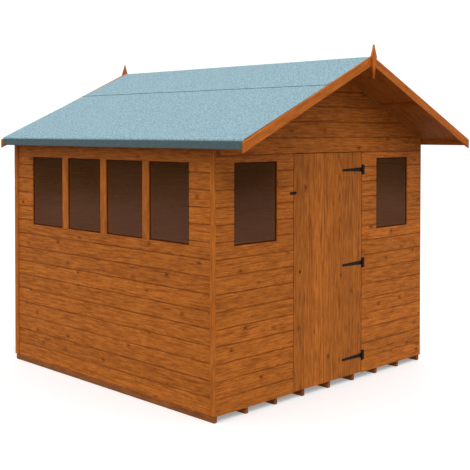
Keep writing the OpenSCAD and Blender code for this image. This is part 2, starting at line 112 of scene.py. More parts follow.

# %% [markdown]
# ## Timber from rings
# Every board on a shed is one shape of section, run along its length. So one small tool makes all
# of them: a closed section is carried through two or more rings, quads join each ring to the next
# and a polygon closes each end. The same tool makes the felt, whose section bends over the eaves.
#
# Wood also needs to know which way it grew. Each board stores its own coordinates, along the
# board, across it and into it, moved by a seeded amount so that no two boards share a knot. The
# wood's material reads them from the attribute called grain. A second one, tone, makes some
# boards a little darker, as they are in any pack of timber. Tone also carries painted shade, which
# darkens the shiplap coves and lower edges, the bottoms of the V joints and the ridge felt's lap
# edges.

# %% A collector that turns rings into one mesh
class Timber:
    """Closed lengths of timber, gathered into one mesh with their grain and tone."""

    def __init__(self, seed):
        self.random = np.random.default_rng(seed)
        self.points, self.faces, self.grain, self.tone = [], [], [], []
        self.count = 0

    def new_board(self, spread=0.05):
        """A place in the tree and a tone for one board: pieces of one board share them."""
        return self.random.uniform(0, 40, 3), self.random.normal(1, spread)

    def add(self, rings, along, across, board=None, shade=1.0):
        """Adds one closed length.

        rings has the shape (rings, points, 3). Each point's grain is its distance along, across
        and into the board, by dot products with three unit vectors, plus the board's offset.
        shade multiplies the board's tone, as painted shade in its joints, and may differ from point
        to point of the section.
        """
        rings = np.asarray(rings, float)
        turns, size = rings.shape[:2]
        offset, tone = board or self.new_board()
        along, across = np.asarray(along, float), np.asarray(across, float)
        axes = np.stack([along, across, np.cross(along, across)])
        flat = rings.reshape(-1, 3)
        here = np.arange(size)
        ahead = np.roll(here, -1)
        row = np.arange(turns - 1)[:, None] * size + self.count
        quads = np.stack([row + here, row + ahead, row + size + ahead, row + size + here], 2)
        ends = [(here + self.count)[::-1].tolist(),
                (here + self.count + (turns - 1) * size).tolist()]
        self.points.append(flat)
        self.faces += quads.reshape(-1, 4).tolist() + ends
        self.grain.append(flat @ axes.T + offset)
        self.tone.append(np.broadcast_to(tone * np.asarray(shade), (turns, size)).ravel())
        self.count += len(flat)

    def build(self, name):
        """Puts everything gathered into one object, with faces turned outwards."""
        mesh = bpy.data.meshes.new(name)
        mesh.from_pydata(np.concatenate(self.points).tolist(), [], self.faces)
        write_grain(mesh, np.concatenate(self.grain), np.concatenate(self.tone))
        return new_piece(name, mesh)


def write_grain(mesh, grain, tone):
    """Stores the grain vector and the tone of every point on the mesh."""
    mesh.attributes.new("grain", "FLOAT_VECTOR", "POINT").data.foreach_set(
        "vector", np.asarray(grain, np.float32).ravel())
    mesh.attributes.new("tone", "FLOAT", "POINT").data.foreach_set(
        "value", np.asarray(tone, np.float32))


def new_piece(name, mesh):
    """A new object at the origin, its mesh checked and its faces turned outwards."""
    work = bmesh.new()
    work.from_mesh(mesh)
    bmesh.ops.recalc_face_normals(work, faces=work.faces)
    work.to_mesh(mesh)
    work.free()
    mesh.validate()
    piece = bpy.data.objects.new(name, mesh)
    bpy.context.scene.collection.objects.link(piece)
    print(name, len(mesh.vertices), "points", len(mesh.polygons), "faces")
    return piece


# %% [markdown]
# ## Sticks from the frame
# Battens, trims, beads and braces are plain sawn sticks, and the frame already holds each at its
# exact place. They need only their sharp edges eased and their grain. A part comes in as loose
# triangles, so a copy is merged and its flat faces joined first. Sticks in one part are told
# apart by spreading the lowest point number along the edges until nothing changes. The longest
# edge of each stick is the way that it grew.

# %% Copies of sticks with eased edges and grain
def islands(count, edges):
    """A number for each point, the same for all points that edges join."""
    label = np.arange(count)
    while True:
        low = np.minimum(label[edges[:, 0]], label[edges[:, 1]])
        spread = label.copy()
        np.minimum.at(spread, edges[:, 0], low)
        np.minimum.at(spread, edges[:, 1], low)
        if (spread == label).all():
            return np.unique(label, return_inverse=True)[1]
        label = spread


def copy_part(node, name):
    """A merged copy of a part of the frame, with its flat faces in one piece each."""
    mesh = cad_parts[node].data.copy()
    mesh.materials.clear()
    work = bmesh.new()
    work.from_mesh(mesh)
    bmesh.ops.remove_doubles(work, verts=work.verts, dist=1e-5)
    bmesh.ops.dissolve_limit(work, angle_limit=np.radians(0.5), verts=work.verts, edges=work.edges)
    work.to_mesh(mesh)
    work.free()
    mesh.name = name
    return mesh


def arrays_of(mesh):
    """A mesh's points and edges as arrays."""
    points = np.empty(len(mesh.vertices) * 3)
    mesh.vertices.foreach_get("co", points)
    edges = np.empty(len(mesh.edges) * 2, int)
    mesh.edges.foreach_get("vertices", edges)
    return points.reshape(-1, 3), edges.reshape(-1, 2)


def boxes_of(node):
    """The lowest and highest corner of each loose stick or sheet in a part."""
    mesh = copy_part(node, "measure")
    points, edges = arrays_of(mesh)
    bpy.data.meshes.remove(mesh)
    piece = islands(len(points), edges)
    return [(points[piece == number].min(axis=0), points[piece == number].max(axis=0))
            for number in range(piece.max() + 1)]


def ease(piece, width):
    """Rounds the sharp edges of a piece with a small bevel."""
    bevel = piece.modifiers.new("eased edges", "BEVEL")
    bevel.width = width
    bevel.segments = 2
    bevel.limit_method = "ANGLE"
    bevel.angle_limit = np.radians(30)
    return piece


def sticks(node, name, seed, width=0.0012, spread=0.07):
    """Eased sticks from a part: each gets grain along its longest edge and its own tone."""
    random = np.random.default_rng(seed)
    mesh = copy_part(node, name)
    points, edges = arrays_of(mesh)
    run = points[edges[:, 1]] - points[edges[:, 0]]
    length = np.linalg.norm(run, axis=1)
    stick = islands(len(points), edges)
    grain, tone = np.empty_like(points), np.empty(len(points))
    for number in range(stick.max() + 1):
        mine = np.flatnonzero(stick[edges[:, 0]] == number)
        longest = mine[np.argmax(length[mine])]
        along = run[longest] / length[longest]
        side = np.abs(run[mine] @ along) < 0.2 * length[mine]
        wide = mine[side][np.argmax(length[mine][side])]
        across = run[wide] - (run[wide] @ along) * along
        across /= np.linalg.norm(across)
        axes = np.stack([along, across, np.cross(along, across)])
        inside = stick == number
        grain[inside] = points[inside] @ axes.T + random.uniform(0, 40, 3)
        tone[inside] = random.normal(1, spread)
    write_grain(mesh, grain, tone)
    return ease(new_piece(name, mesh), width)

# %% [markdown]
# ## Shader maths as Python
# A procedural finish is a lot of arithmetic, and a chain of nodes is hard to read. Here a small
# class wraps a socket, and the usual operators on it add the Math nodes. Any other node comes
# from one method, which takes the node's type, its settings and its inputs.

# %% A socket with operators, and a finish that makes nodes
def linear(red, green, blue):
    """A colour from 0 to 255 as the linear numbers that light adds up in."""
    value = np.array([red, green, blue]) / 255
    value = np.where(value <= 0.04045, value / 12.92, ((value + 0.055) / 1.055) ** 2.4)
    return (*value.tolist(), 1.0)


class Socket:
    """An output socket: arithmetic on it adds a Math node."""

    def __init__(self, finish, link):
        self.finish, self.link = finish, link

    def maths(self, operation, *values):
        return self.finish.add("ShaderNodeMath", {"operation": operation}, *values)

    def __add__(self, other): return self.maths("ADD", self, other)
    def __radd__(self, other): return self.maths("ADD", other, self)
    def __sub__(self, other): return self.maths("SUBTRACT", self, other)
    def __rsub__(self, other): return self.maths("SUBTRACT", other, self)
    def __mul__(self, other): return self.maths("MULTIPLY", self, other)
    def __rmul__(self, other): return self.maths("MULTIPLY", other, self)
    def __truediv__(self, other): return self.maths("DIVIDE", self, other)
    def __pow__(self, other): return self.maths("POWER", self, other)
    def __lt__(self, other): return self.maths("LESS_THAN", self, other)


class Finish:
    """A material, and the ways to add nodes to it."""

    def __init__(self, name):
        self.material = bpy.data.materials.new(name)
        self.material.use_nodes = True
        self.nodes = self.material.node_tree.nodes
        self.shader = self.nodes["Principled BSDF"]

    def add(self, kind, settings, *values, out=0, **named):
        """Adds a node: its settings first, then values or links into its inputs, in order or by
        name. Gives back the chosen output."""
        node = self.nodes.new(kind)
        for key, value in settings.items():
            if key == "stops":
                self.ramp_stops(node.color_ramp, value)
            else:
                setattr(node, key, value)
        places = list(enumerate(values)) + [(key.replace("_", " "), named[key]) for key in named]
        for place, value in places:
            self.put(node.inputs[place], value)
        return Socket(self, node.outputs[out])

    def put(self, entry, value):
        """A link where the value is a socket, or else the plain value."""
        if isinstance(value, Socket):
            self.material.node_tree.links.new(value.link, entry)
        elif value is not None:
            entry.default_value = value

    def ramp_stops(self, ramp, stops):
        """Sets the colours of a ramp from pairs of place and colour."""
        while len(ramp.elements) < len(stops):
            ramp.elements.new(1)
        for element, (place, colour) in zip(ramp.elements, stops):
            element.position, element.color = place, colour

    def attribute(self, name, out=0):
        return self.add("ShaderNodeAttribute", {"attribute_name": name}, out=out)

    def place(self):
        """The point's own coordinates on its object, in metres."""
        return self.add("ShaderNodeTexCoord", {}, out="Object")

    def noise(self, vector, scale, detail=2.0, rough=0.5, **more):
        return self.add("ShaderNodeTexNoise", {}, Vector=vector, Scale=scale, Detail=detail,
                        Roughness=rough, **more)

    def stretch(self, vector, *factors):
        """The vector with each of its parts multiplied."""
        return self.add("ShaderNodeVectorMath", {"operation": "MULTIPLY"}, vector, factors)

    def blend(self, amount, first, second, way="MIX"):
        """A mix of two colours. Sockets 0, 6 and 7 are the factor and the colours."""
        node = self.nodes.new("ShaderNodeMix")
        node.data_type, node.blend_type, node.clamp_factor = "RGBA", way, True
        for place, value in ((0, amount), (6, first), (7, second)):
            self.put(node.inputs[place], value)
        return Socket(self, node.outputs[2])

    def range(self, value, from_low, from_high, to_low=0.0, to_high=1.0, way="LINEAR"):
        """The value moved from one range to another and held inside it."""
        return self.add("ShaderNodeMapRange", {"interpolation_type": way, "clamp": True},
                        value, from_low, from_high, to_low, to_high)

    def surface(self, **values):
        """Puts values or links on the shader's own sockets."""
        for key, value in values.items():
            self.put(self.shader.inputs[key.replace("_", " ")], value)
        return self.material

    def bump(self, height, distance, strength=1.0, normal=None):
        return self.add("ShaderNodeBump", {}, Height=height, Distance=distance,
                        Strength=strength, Normal=normal)

# %% [markdown]
# ## Stained softwood
# The walls are spruce boards dipped in an orange-brown stain. What shows is broad streaks along
# the board, arched growth lines where the saw cut across the rings, fine fibres, and small knots
# with the growth lines bending round them. A picture of wood would repeat, so the growth lines
# here are the contour lines of a smooth noise that is stretched along the board. A gentle hill
# at each knot makes the contours run round it. The same recipe serves all the timber, and only
# the colours and the strength of each part change.

# %% A wood finish from grain coordinates
KNOTS_ALONG, KNOTS_ACROSS = 2.6, 8.0     # knot cells in a metre, along and across
KNOT_HEART, KNOT_EDGE = 0.004, 0.010     # radius of a knot's dark heart, and of all of it
KNOT_REACH = 0.028            # how far a knot bends the grain round it
RAGGED = 0.004                # how uneven a knot's outline is
GROWTH_LINES = 16             # contour lines over the whole height of the slow noise


def wood(name, pale, deep, knot_colour, lines=0.3, streaks=0.7, fibre=0.5, knots=0.5,
         gloss=0.62):
    """A finish for timber. pale and deep are the colours between which the grain plays."""
    finish = Finish(name)
    grain = finish.attribute("grain", out="Vector")
    tone = finish.attribute("tone", out="Fac")

    cells = finish.stretch(grain, KNOTS_ALONG, KNOTS_ACROSS, 0.0)
    centre = finish.add("ShaderNodeTexVoronoi", {"voronoi_dimensions": "2D"}, Vector=cells,
                        Scale=1.0, Randomness=0.9, out="Position")
    chance = finish.add("ShaderNodeTexVoronoi", {"voronoi_dimensions": "2D"}, Vector=cells,
                        Scale=1.0, Randomness=0.9, out="Color")
    away = finish.add("ShaderNodeVectorMath", {"operation": "SUBTRACT"}, cells, centre)
    away = finish.stretch(away, 0.7 / KNOTS_ALONG, 1 / KNOTS_ACROSS, 0.0)
    distance = finish.add("ShaderNodeVectorMath", {"operation": "LENGTH"}, away, out="Value")
    ragged = finish.noise(grain, 90.0, 2.0)
    distance = distance + (ragged - 0.5) * RAGGED
    luck = finish.add("ShaderNodeSeparateColor", {}, chance, out="Red")
    size = finish.add("ShaderNodeSeparateColor", {}, chance, out="Green")
    there = luck < knots
    core = finish.range(distance, KNOT_HEART, KNOT_EDGE, 1.0, 0.0, "SMOOTHSTEP") * there * size
    halo = finish.range(distance, KNOT_HEART, KNOT_REACH, 1.0, 0.0, "SMOOTHSTEP") * there

    slow = finish.noise(finish.stretch(grain, 0.55, 8.0, 8.0), 1.0, 1.0, 0.4, Distortion=0.2)
    turns = slow * GROWTH_LINES + halo * 0.9
    ripple = finish.add("ShaderNodeMath", {"operation": "SINE"}, turns * (2 * np.pi))
    ring = (ripple * 0.5 + 0.5) ** 2.0
    fade = finish.noise(finish.stretch(grain, 1.6, 16.0, 16.0), 1.0, 2.0)
    ring = ring * finish.range(fade, 0.35, 0.65, 0.25, 1.0)

    streak = finish.noise(finish.stretch(grain, 5.0, 150.0, 150.0), 1.0, 4.0, 0.7)
    streak = finish.range(streak, 0.37, 0.63)
    cloud = finish.range(finish.noise(finish.stretch(grain, 10.0, 44.0, 44.0), 1.0, 4.0, 0.75),
                         0.38, 0.62)
    fibres = finish.noise(finish.stretch(grain, 22.0, 820.0, 820.0), 1.0, 3.0, 0.65)
    fibres = finish.range(fibres, 0.35, 0.65)

    depth = ring * lines + streak * streaks + fibres * (fibre * 0.35) + cloud * 0.5
    depth = depth / (lines + streaks + fibre * 0.35 + 0.5)
    depth = finish.range(depth + halo * 0.26, 0.16, 0.82)
    colour = finish.blend(depth, pale, deep)
    colour = finish.blend(core * 0.9, colour, knot_colour)
    level = finish.add("ShaderNodeCombineColor", {}, tone, tone, tone)
    colour = finish.blend(1.0, colour, level, "MULTIPLY")

    height = fibres * 0.5 + ring * 0.35 + core * 0.6 + streak * 0.2
    rough = finish.range(fibres * 0.6 + streak * 0.4, 0.0, 1.0, gloss - 0.08, gloss + 0.12)
    return finish.surface(Base_Color=colour, Roughness=rough, Specular_IOR_Level=0.12,
                          Normal=finish.bump(height, 0.0006, 0.55))


KNOT = linear(74, 34, 14)
finishes = {
    "shiplap_wood": wood("stained_shiplap", linear(217, 125, 47), linear(145, 72, 17), KNOT),
    "trim_wood": wood("stained_trim", linear(213, 122, 45), linear(154, 79, 20), KNOT, knots=0.1),
    "door_wood": wood("stained_door", linear(206, 119, 45), linear(134, 66, 16), KNOT,
                      lines=0.6, streaks=0.7, knots=0.35),
    "barge_wood": wood("stained_barge", linear(210, 117, 44), linear(164, 82, 22), KNOT,
                       knots=0.12),
    "roof_wood": wood("stained_roof", linear(206, 126, 52), linear(156, 86, 30), KNOT),
    "frame_wood": wood("stained_batten", linear(196, 114, 48), linear(150, 80, 28), KNOT,
                       knots=0.2),
    "floor_wood": wood("plain_floor", linear(196, 140, 84), linear(150, 96, 50), KNOT),
    "bearer_wood": wood("treated_bearer", linear(168, 100, 50), linear(112, 62, 28), KNOT,
                        knots=0.2),
}
print("wood finishes", sorted(finishes))

# %% [markdown]
# ## The shiplap board
# Each board covers 114 mm. Its face is flat, then a hollow cove sinks into its upper edge and runs
# into a thin tongue. The next board is rebated behind its lower edge and laps over that tongue,
# so rain runs off and a thin shadow marks every joint. The shadow is the whole look of the wall,
# so the section is modelled, rather than drawn as a bump.
#
# Boards stop at windows and at the slope of the gable. So the section is worked out as two lists
# of depth against height, one up the face and one down the back, and each list can be cut at any
# height by reading the depth there. Where a board is notched round a window, its pieces share one
# place in the tree, and the grain runs through.

# %% The shiplap section
COVER = 0.114                 # height that one board covers
COVE_LOW = 0.1015             # where the cove starts on the face
COVE_HIGH = 0.1125
COVE_DEPTH = 0.0052
TONGUE_TOP = 0.1215
REBATE = 0.0085               # height of the rebate behind the lower edge
LAP_FACE = 0.0060             # depth at which two boards meet
LAP_GAP = 0.0004
COVE_SHADE = 0.74             # painted shade: the cove is drawn this much darker, where the lap above shadows it
LIP_SHADE = 0.72              # and the painted shade along the lower edge


def shiplap_face():
    """Depth against height up the face. In the cove the depth is the quarter of an ellipse:
    steep where it leaves the face and upright where it meets the tongue."""
    along = np.linspace(0, 1, 6)
    cove = COVE_DEPTH * np.sqrt(1 - (1 - along) ** 2)
    height = np.concatenate([[0, 0.0010], COVE_LOW + along * (COVE_HIGH - COVE_LOW),
                             [COVE_HIGH + 0.0006, TONGUE_TOP]])
    depth = np.concatenate([[0.0009, 0], cove, [LAP_FACE + LAP_GAP] * 2])
    return height, depth


def shiplap_back():
    """Depth against height down the back, with the rebate at the lower edge."""
    return (np.array([0, REBATE, REBATE + 1e-5, TONGUE_TOP]),
            np.array([LAP_FACE, LAP_FACE, CLAD_T, CLAD_T]))


def between(height, depth, low, high, extra=()):
    """The part of a list of depth against height that lies between two heights."""
    keep = (height > low + 1e-6) & (height < high - 1e-6)
    levels = np.concatenate([[low], height[keep], [high],
                             [level for level in extra if low + 1e-4 < level < high - 1e-4]])
    levels = np.sort(levels)
    return levels, np.interp(levels, height, depth)


def shiplap_piece(timber, board, bottom, low, high, left, right, place, axes, kinks=()):
    """One piece of a shiplap board.

    bottom is the height of the board's lower edge. left and right give the ends as functions of
    the height, so an end can follow a slope. place turns (along, depth, height) into a point.
    """
    face_z, face_d = between(*shiplap_face(), low, high, kinks)
    back_z, back_d = between(*shiplap_back(), low, high, kinks)
    height = np.concatenate([face_z, back_z[::-1]]) + bottom
    depth = np.concatenate([face_d, back_d[::-1]])
    ends = [place(end(height), depth, height) for end in (left, right)]
    above = height - bottom
    # Painted shade: the cove and the board's lower edge are drawn darker, where the lap shadows the
    # joint.
    shade = np.where((above > COVE_LOW + 1e-4) & (depth > 1e-4), COVE_SHADE, 1.0)
    shade = np.where(above < 5e-4, LIP_SHADE, shade)
    timber.add(ends, *axes, board=board, shade=shade)


print("shiplap section", len(shiplap_face()[0]) + len(shiplap_back()[0]), "points")

# %% Courses of boards from the bearers up
def at(value):
    """An end that stands upright."""
    return lambda height: np.full_like(height, value)


def shiplap_wall(name, seed, base, zones, place, axes, kinks=()):
    """A wall of boards. zones lists (low, high, left, right): what each stretch of the wall
    spans, with low and high as heights. A board that crosses two zones keeps one grain."""
    timber = Timber(seed)
    top = max(zone[1] for zone in zones)
    for course in range(int(np.ceil((top - base) / COVER))):
        bottom = base + course * COVER
        board = timber.new_board()
        for low, high, left, right in zones:
            first, last = max(0, low - bottom), min(TONGUE_TOP, high - bottom)
            if first < COVER - 0.004 and last - first > 0.004:
                shiplap_piece(timber, board, bottom, first, last, left, right, place, axes,
                              [kink - bottom for kink in kinks])
    return timber.build(name)


def on_front(along, depth, height):
    """Points on the front, from distance along it, depth into it and height."""
    return np.stack([along, FRONT_Y + depth, height], -1)


def on_back(along, depth, height):
    """Points on the back, from distance along it, depth into it and height."""
    return np.stack([along, BACK_Y - depth, height], -1)


def on_left(along, depth, height):
    """Points on the left wall, from distance along it, depth into it and height."""
    return np.stack([along, -CLAD_X + depth, height], -1)[:, [1, 0, 2]]


def on_right(along, depth, height):
    """Points on the right wall, from distance along it, depth into it and height."""
    return np.stack([along, CLAD_X - depth, height], -1)[:, [1, 0, 2]]


SIDE_AXES = ((0, 1, 0), (0, 0, 1))
END_AXES = ((1, 0, 0), (0, 0, 1))
EAVES_KINK = under_roof(CLAD_X)


def slope_left(height):
    """The left end of a gable board: upright below the eaves, then up the slope."""
    return -np.clip((APEX_Z - height) / SLOPE, 0.0008, CLAD_X)


def slope_right(height):
    """The right end of a gable board, the mirror of the left one."""
    return -slope_left(height)


# %% [markdown]
# ## The front wall
# The front has a panel each side of the door, each with one window, and a gable over both. The
# windows have no frame outside: the boards stop at a clean square opening.

# %% Boards of the front
PANE_LAP = 0.0047             # how far a pane reaches behind the boards round its opening


PANES = {                     # the parts of glass, and the axis that runs along their wall
    "front_window_left_glass": 0, "front_window_right_glass": 0, "side_windows_glass": 1,
}


def window_of(node):
    """The opening in front of a pane."""
    low, high = corners(node)
    return low[0] + PANE_LAP, high[0] - PANE_LAP, low[2] + PANE_LAP, high[2] - PANE_LAP


def panel_zones(low, high, pane):
    """What a panel's boards span: under, left of, right of and over its window."""
    left, right, sill, head = window_of(pane)
    ends = at(low[0]), at(high[0])
    return [(BASE_Z, sill, *ends), (sill, head, ends[0], at(left)),
            (sill, head, at(right), ends[1]), (head, HEAD_Z, *ends)]


front_boards = {
    "front_wall_left": shiplap_wall(
        "boards_front_left", 11, BASE_Z,
        panel_zones(panel_low, panel_high, "front_window_left_glass"), on_front, END_AXES),
    "front_wall_right": shiplap_wall(
        "boards_front_right", 12, BASE_Z,
        panel_zones(right_panel_low, right_panel_high, "front_window_right_glass"),
        on_front, END_AXES),
    "front_wall_gable": shiplap_wall(
        "boards_front_gable", 13, BASE_Z, [(HEAD_Z, APEX_Z, slope_left, slope_right)],
        on_front, END_AXES, [EAVES_KINK]),
}

# %% [markdown]
# ## The side and back walls
# The left wall has the four windows. Under them the boards run the whole length, and beside them
# short ends fill up to a plain head board. The right wall and the back have no openings, and the
# back's boards follow the gable.

# %% Boards of the sides and the back
SILL_Z, LINTEL_Z = left_high[2], ends_high[2]
SIDE_FRONT, SIDE_BACK = left_low[1], left_high[1]
pane_low, pane_high = corners("side_windows_glass")
windows_from, windows_to = pane_low[1] + PANE_LAP, pane_high[1] - PANE_LAP

side_boards = {
    "left_wall_lower": shiplap_wall(
        "boards_left_lower", 21, BASE_Z, [(BASE_Z, SILL_Z, at(SIDE_FRONT), at(SIDE_BACK))],
        on_left, SIDE_AXES),
    "left_wall_ends": shiplap_wall(
        "boards_left_ends", 22, BASE_Z,
        [(SILL_Z, LINTEL_Z, at(SIDE_FRONT), at(windows_from)),
         (SILL_Z, LINTEL_Z, at(windows_to), at(SIDE_BACK))], on_left, SIDE_AXES),
    "right_wall": shiplap_wall(
        "boards_right", 23, BASE_Z, [(BASE_Z, under_roof(CLAD_X), at(SIDE_FRONT), at(SIDE_BACK))],
        on_right, SIDE_AXES),
    "back_wall": shiplap_wall(
        "boards_back", 24, BASE_Z, [(BASE_Z, APEX_Z, slope_left, slope_right)],
        on_back, END_AXES, [EAVES_KINK]),
}

# %% [markdown]
# ## Putting a piece on the shed
# Each new piece rides on a body, so it moves with the door or stays with the shed. It stands for
# the parts that it replaces, and it takes its finish from a named slot.

# %% One call for a finished piece
def fit(piece, body, slot, *nodes):
    """Gives a piece its body, its slot with that slot's finish, and the parts it stands for."""
    piece.data.materials.clear()
    piece.data.materials.append(finishes[slot])
    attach(piece, body)
    if nodes:
        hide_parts(*nodes)
    return piece


for node, piece in (front_boards | side_boards).items():
    fit(piece, "shed", "shiplap_wood", node)

# %% [markdown]
# ## Trims, battens and beads
# Corner trims cover the ends of the boards. Inside, battens stiffen each wall, and beads hold the
# panes. All are sawn sticks with eased edges.

# %% Sticks of the walls and the floor's bearers
STICKS = [
    # part, piece, seed, edge, slot
    ("left_wall_mullions", "window_uprights", 31, 0.0012, "trim_wood"),
    ("left_wall_header", "side_head_board", 32, 0.0012, "trim_wood"),
    ("corner_trims", "corner_trim_boards", 33, 0.0015, "trim_wood"),
    ("front_frame", "front_battens", 34, 0.0015, "frame_wood"),
    ("left_frame", "left_battens", 35, 0.0015, "frame_wood"),
    ("right_frame", "right_battens", 36, 0.0015, "frame_wood"),
    ("back_frame", "back_battens", 37, 0.0015, "frame_wood"),
    ("window_beads", "glazing_beads", 38, 0.0012, "frame_wood"),
    ("door_stops", "door_stop_battens", 39, 0.0012, "frame_wood"),
    ("floor_bearers", "bearers", 40, 0.0020, "bearer_wood"),
    ("purlins", "roof_purlins", 41, 0.0015, "roof_wood"),
    ("eaves_battens", "roof_eaves_battens", 42, 0.0012, "roof_wood"),
    ("gable_strips", "gable_cover_strips", 43, 0.0012, "roof_wood"),
    ("barge_front_left", "barge_board_front_left", 44, 0.0016, "barge_wood"),
    ("barge_front_right", "barge_board_front_right", 45, 0.0016, "barge_wood"),
    ("barge_back_left", "barge_board_back_left", 46, 0.0016, "barge_wood"),
    ("barge_back_right", "barge_board_back_right", 47, 0.0016, "barge_wood"),
    ("finial_front", "finial_spike_front", 48, 0.0014, "barge_wood"),
    ("finial_back", "finial_spike_back", 49, 0.0014, "barge_wood"),
]
for node, name, seed, edge, slot in STICKS:
    fit(sticks(node, name, seed, edge), "shed", slot, node)
fit(sticks("door_ledges", "door_ledges_and_braces", 50, 0.0018), "door", "door_wood",
    "door_ledges")

# %% [markdown]
# ## The door
# The leaf is vertical tongued and grooved boards. Each long edge has a small chamfer, so two
# boards meet in a V that shows as a thin upright line. The boards are the same height, so the
# section is drawn once from above and carried up.

# %% Door leaf boards
DOOR_BOARDS = 7
V_SIDE, V_DEEP = 0.0022, 0.0020     # the chamfer, across and into a board
JOINT = 0.0005                      # open line at the bottom of the V
V_SHADE = (1, 1, 0.6, 1, 1, 0.6)    # painted shade: the bottom of the V is drawn darker, where the groove is in shade


def v_section(width, thickness):
    """A board's section: a rectangle whose corners on the face are cut off."""
    return np.array([[V_SIDE, 0], [width - V_SIDE, 0], [width, V_DEEP], [width, thickness],
                     [0, thickness], [0, V_DEEP]])


def planks(name, seed, count, start, stop, thickness, place, ends, axes, spread=0.05, shade=1.0):
    """Equal boards side by side from start to stop. place turns a board's (across, depth) and one
    of its two or more ends into points."""
    timber = Timber(seed)
    pitch = (stop - start) / count
    section = v_section(pitch - JOINT, thickness)
    for number in range(count):
        across = start + number * pitch + section[:, 0] + JOINT / 2
        timber.add([place(across, section[:, 1], end) for end in ends], *axes,
                   timber.new_board(spread), shade)
    print(name, count, "boards of", round(pitch, 4))
    return timber.build(name)


def on_door(x, depth, z):
    """Points of the leaf, from places across it and depths into it, at one height."""
    return np.stack([x, door_low[1] + depth, np.full_like(x, z)], -1)


leaf = planks("door_leaf_boards", 61, DOOR_BOARDS, door_low[0], door_high[0],
              door_high[1] - door_low[1], on_door, (door_low[2], door_high[2]),
              ((0, 0, 1), (1, 0, 0)), 0.07, V_SHADE)
fit(leaf, "door", "door_wood", "door_boards")

# %% [markdown]
# ## Floor and roof boards
# The floor's boards lie across the bearers. The roof's boards run from ridge to eaves, with their
# V joints underneath, where they show under the canopy.

# %% Floor boards
floor_low, floor_high = corners("floor_boards")
FLOOR_BOARDS = 21


def on_floor(y, depth, x):
    """Points of the floor, from places along the shed and depths into it, at one side."""
    return np.stack([np.full_like(y, x), y, floor_high[2] - depth], -1)


floor = planks("floor_planks", 62, FLOOR_BOARDS, floor_low[1], floor_high[1],
               floor_high[2] - floor_low[2], on_floor, (floor_low[0], floor_high[0]),
               ((1, 0, 0), (0, 1, 0)))
fit(floor, "shed", "floor_wood", "floor_boards")

# %% Roof boards
ROOF_BOARDS = 24
EAVES_CUT = 0.004              # the upper corner at the eaves is planed off, so felt folds softly
ROOF_X = roof_high[0]
BOARD_V = roof_high[2] - (corners("roof_boards_right")[0][2] + SLOPE * ROOF_X)


def roof_boards(name, seed, side):
    """Boards of one slope. Both ends are plumb, so a point's height is that of the roof's
    underside there, plus its place in the board's thickness measured upright."""
    def on_slope(y, depth, end):
        out, top = end
        height = roof_low[2] + SLOPE * (ROOF_X - out) + np.minimum(depth, top)
        return np.stack([np.full_like(y, side * out), y, height], -1)

    ends = ((0.0002, BOARD_V), (ROOF_X - EAVES_CUT, BOARD_V), (ROOF_X, BOARD_V - EAVES_CUT))
    return planks(name, seed, ROOF_BOARDS, roof_low[1], roof_high[1], BOARD_V, on_slope, ends,
                  ((side * np.cos(PITCH), 0, -np.sin(PITCH)), (0, 1, 0)), shade=V_SHADE)


fit(roof_boards("roof_planks_left", 63, -1), "shed", "roof_wood", "roof_boards_left")
fit(roof_boards("roof_planks_right", 64, 1), "shed", "roof_wood", "roof_boards_right")

# %% [markdown]
# ## Mineral felt
# The felt is a 3 mm sheet with pale blue-grey granules pressed into it. It goes over each slope
# and turns down over the eaves, and a third sheet laps over the ridge. It is soft, so it lies
# with very slight waves and its edges are round. Its section is a closed path, up over the top
# and back underneath, carried through many rings along the roof, and each point is lifted by up
# to a millimetre and a half by a smooth mean of sines.

# %% Felt sheets
FELT_T = felt_high[0] - ROOF_X
FELT_V = FELT_T / np.cos(PITCH)
ridge_low, ridge_high = corners("felt_ridge")
RIDGE_Z = ridge_high[2]
FELT_RINGS = 93
FELT_LIFT = 0.0015            # most that a wave lifts the felt
FELT_SEED = 70


def on_felt(out):
    """Height of the felt's upper face on a slope."""
    return RIDGE_Z - SLOPE * out


def wave(out, y):
    """A small smooth lift: the mean of a few sines whose lengths and places are seeded. All
    sheets use the same one, so they rise together and never meet."""
    random = np.random.default_rng(FELT_SEED)
    a, b, start = random.uniform(-9, 9, (3, 9, 1, 1))
    return FELT_LIFT * (1 + np.sin(a * out + b * y + start).mean(axis=0)) / 2


def felt_sheet(name, seed, over, under, dark=()):
    """A closed sheet from two paths across the roof, each a list of points (out, height). The
    points numbered in dark have a low tone: the bitumen of a cut edge together with painted shade
    of the gap under the lap."""
    path = np.concatenate([over, under[::-1]])
    y = np.linspace(ridge_low[1], ridge_high[1], FELT_RINGS)[:, None]
    rings = np.empty((FELT_RINGS, len(path), 3))
    rings[..., 0] = path[:, 0]
    rings[..., 1] = y
    rings[..., 2] = path[:, 1] + wave(path[:, 0], y)
    shade = np.ones(len(path))
    shade[list(dark)] = 0.0
    timber = Timber(seed)
    timber.add(rings, (0, 1, 0), (np.cos(PITCH), 0, -np.sin(PITCH)), timber.new_board(0.0), shade)
    return timber.build(name)


def along_slope(start, stop, count, height):
    """A list of points (out, height), evenly apart along a slope."""
    out = np.linspace(start, stop, count)
    return np.stack([out, height(out)], -1)


side_start = felt_low[0]
turn_down = felt_low[2]
FOLD = 0.009                   # how far from the corner the felt starts to bend


def fold(out, height, size):
    """A bend from a slope into an upright face, as five points of a parabola: its ends lie at
    the same distance from the corner, and the corner itself is the control point."""
    t = np.linspace(0, 1, 5)[:, None]
    start = np.array([out - size * np.cos(PITCH), height + size * np.sin(PITCH)])
    corner, stop = np.array([out, height]), np.array([out, height - size])
    return start * (1 - t) ** 2 + corner * 2 * t * (1 - t) + stop * t ** 2


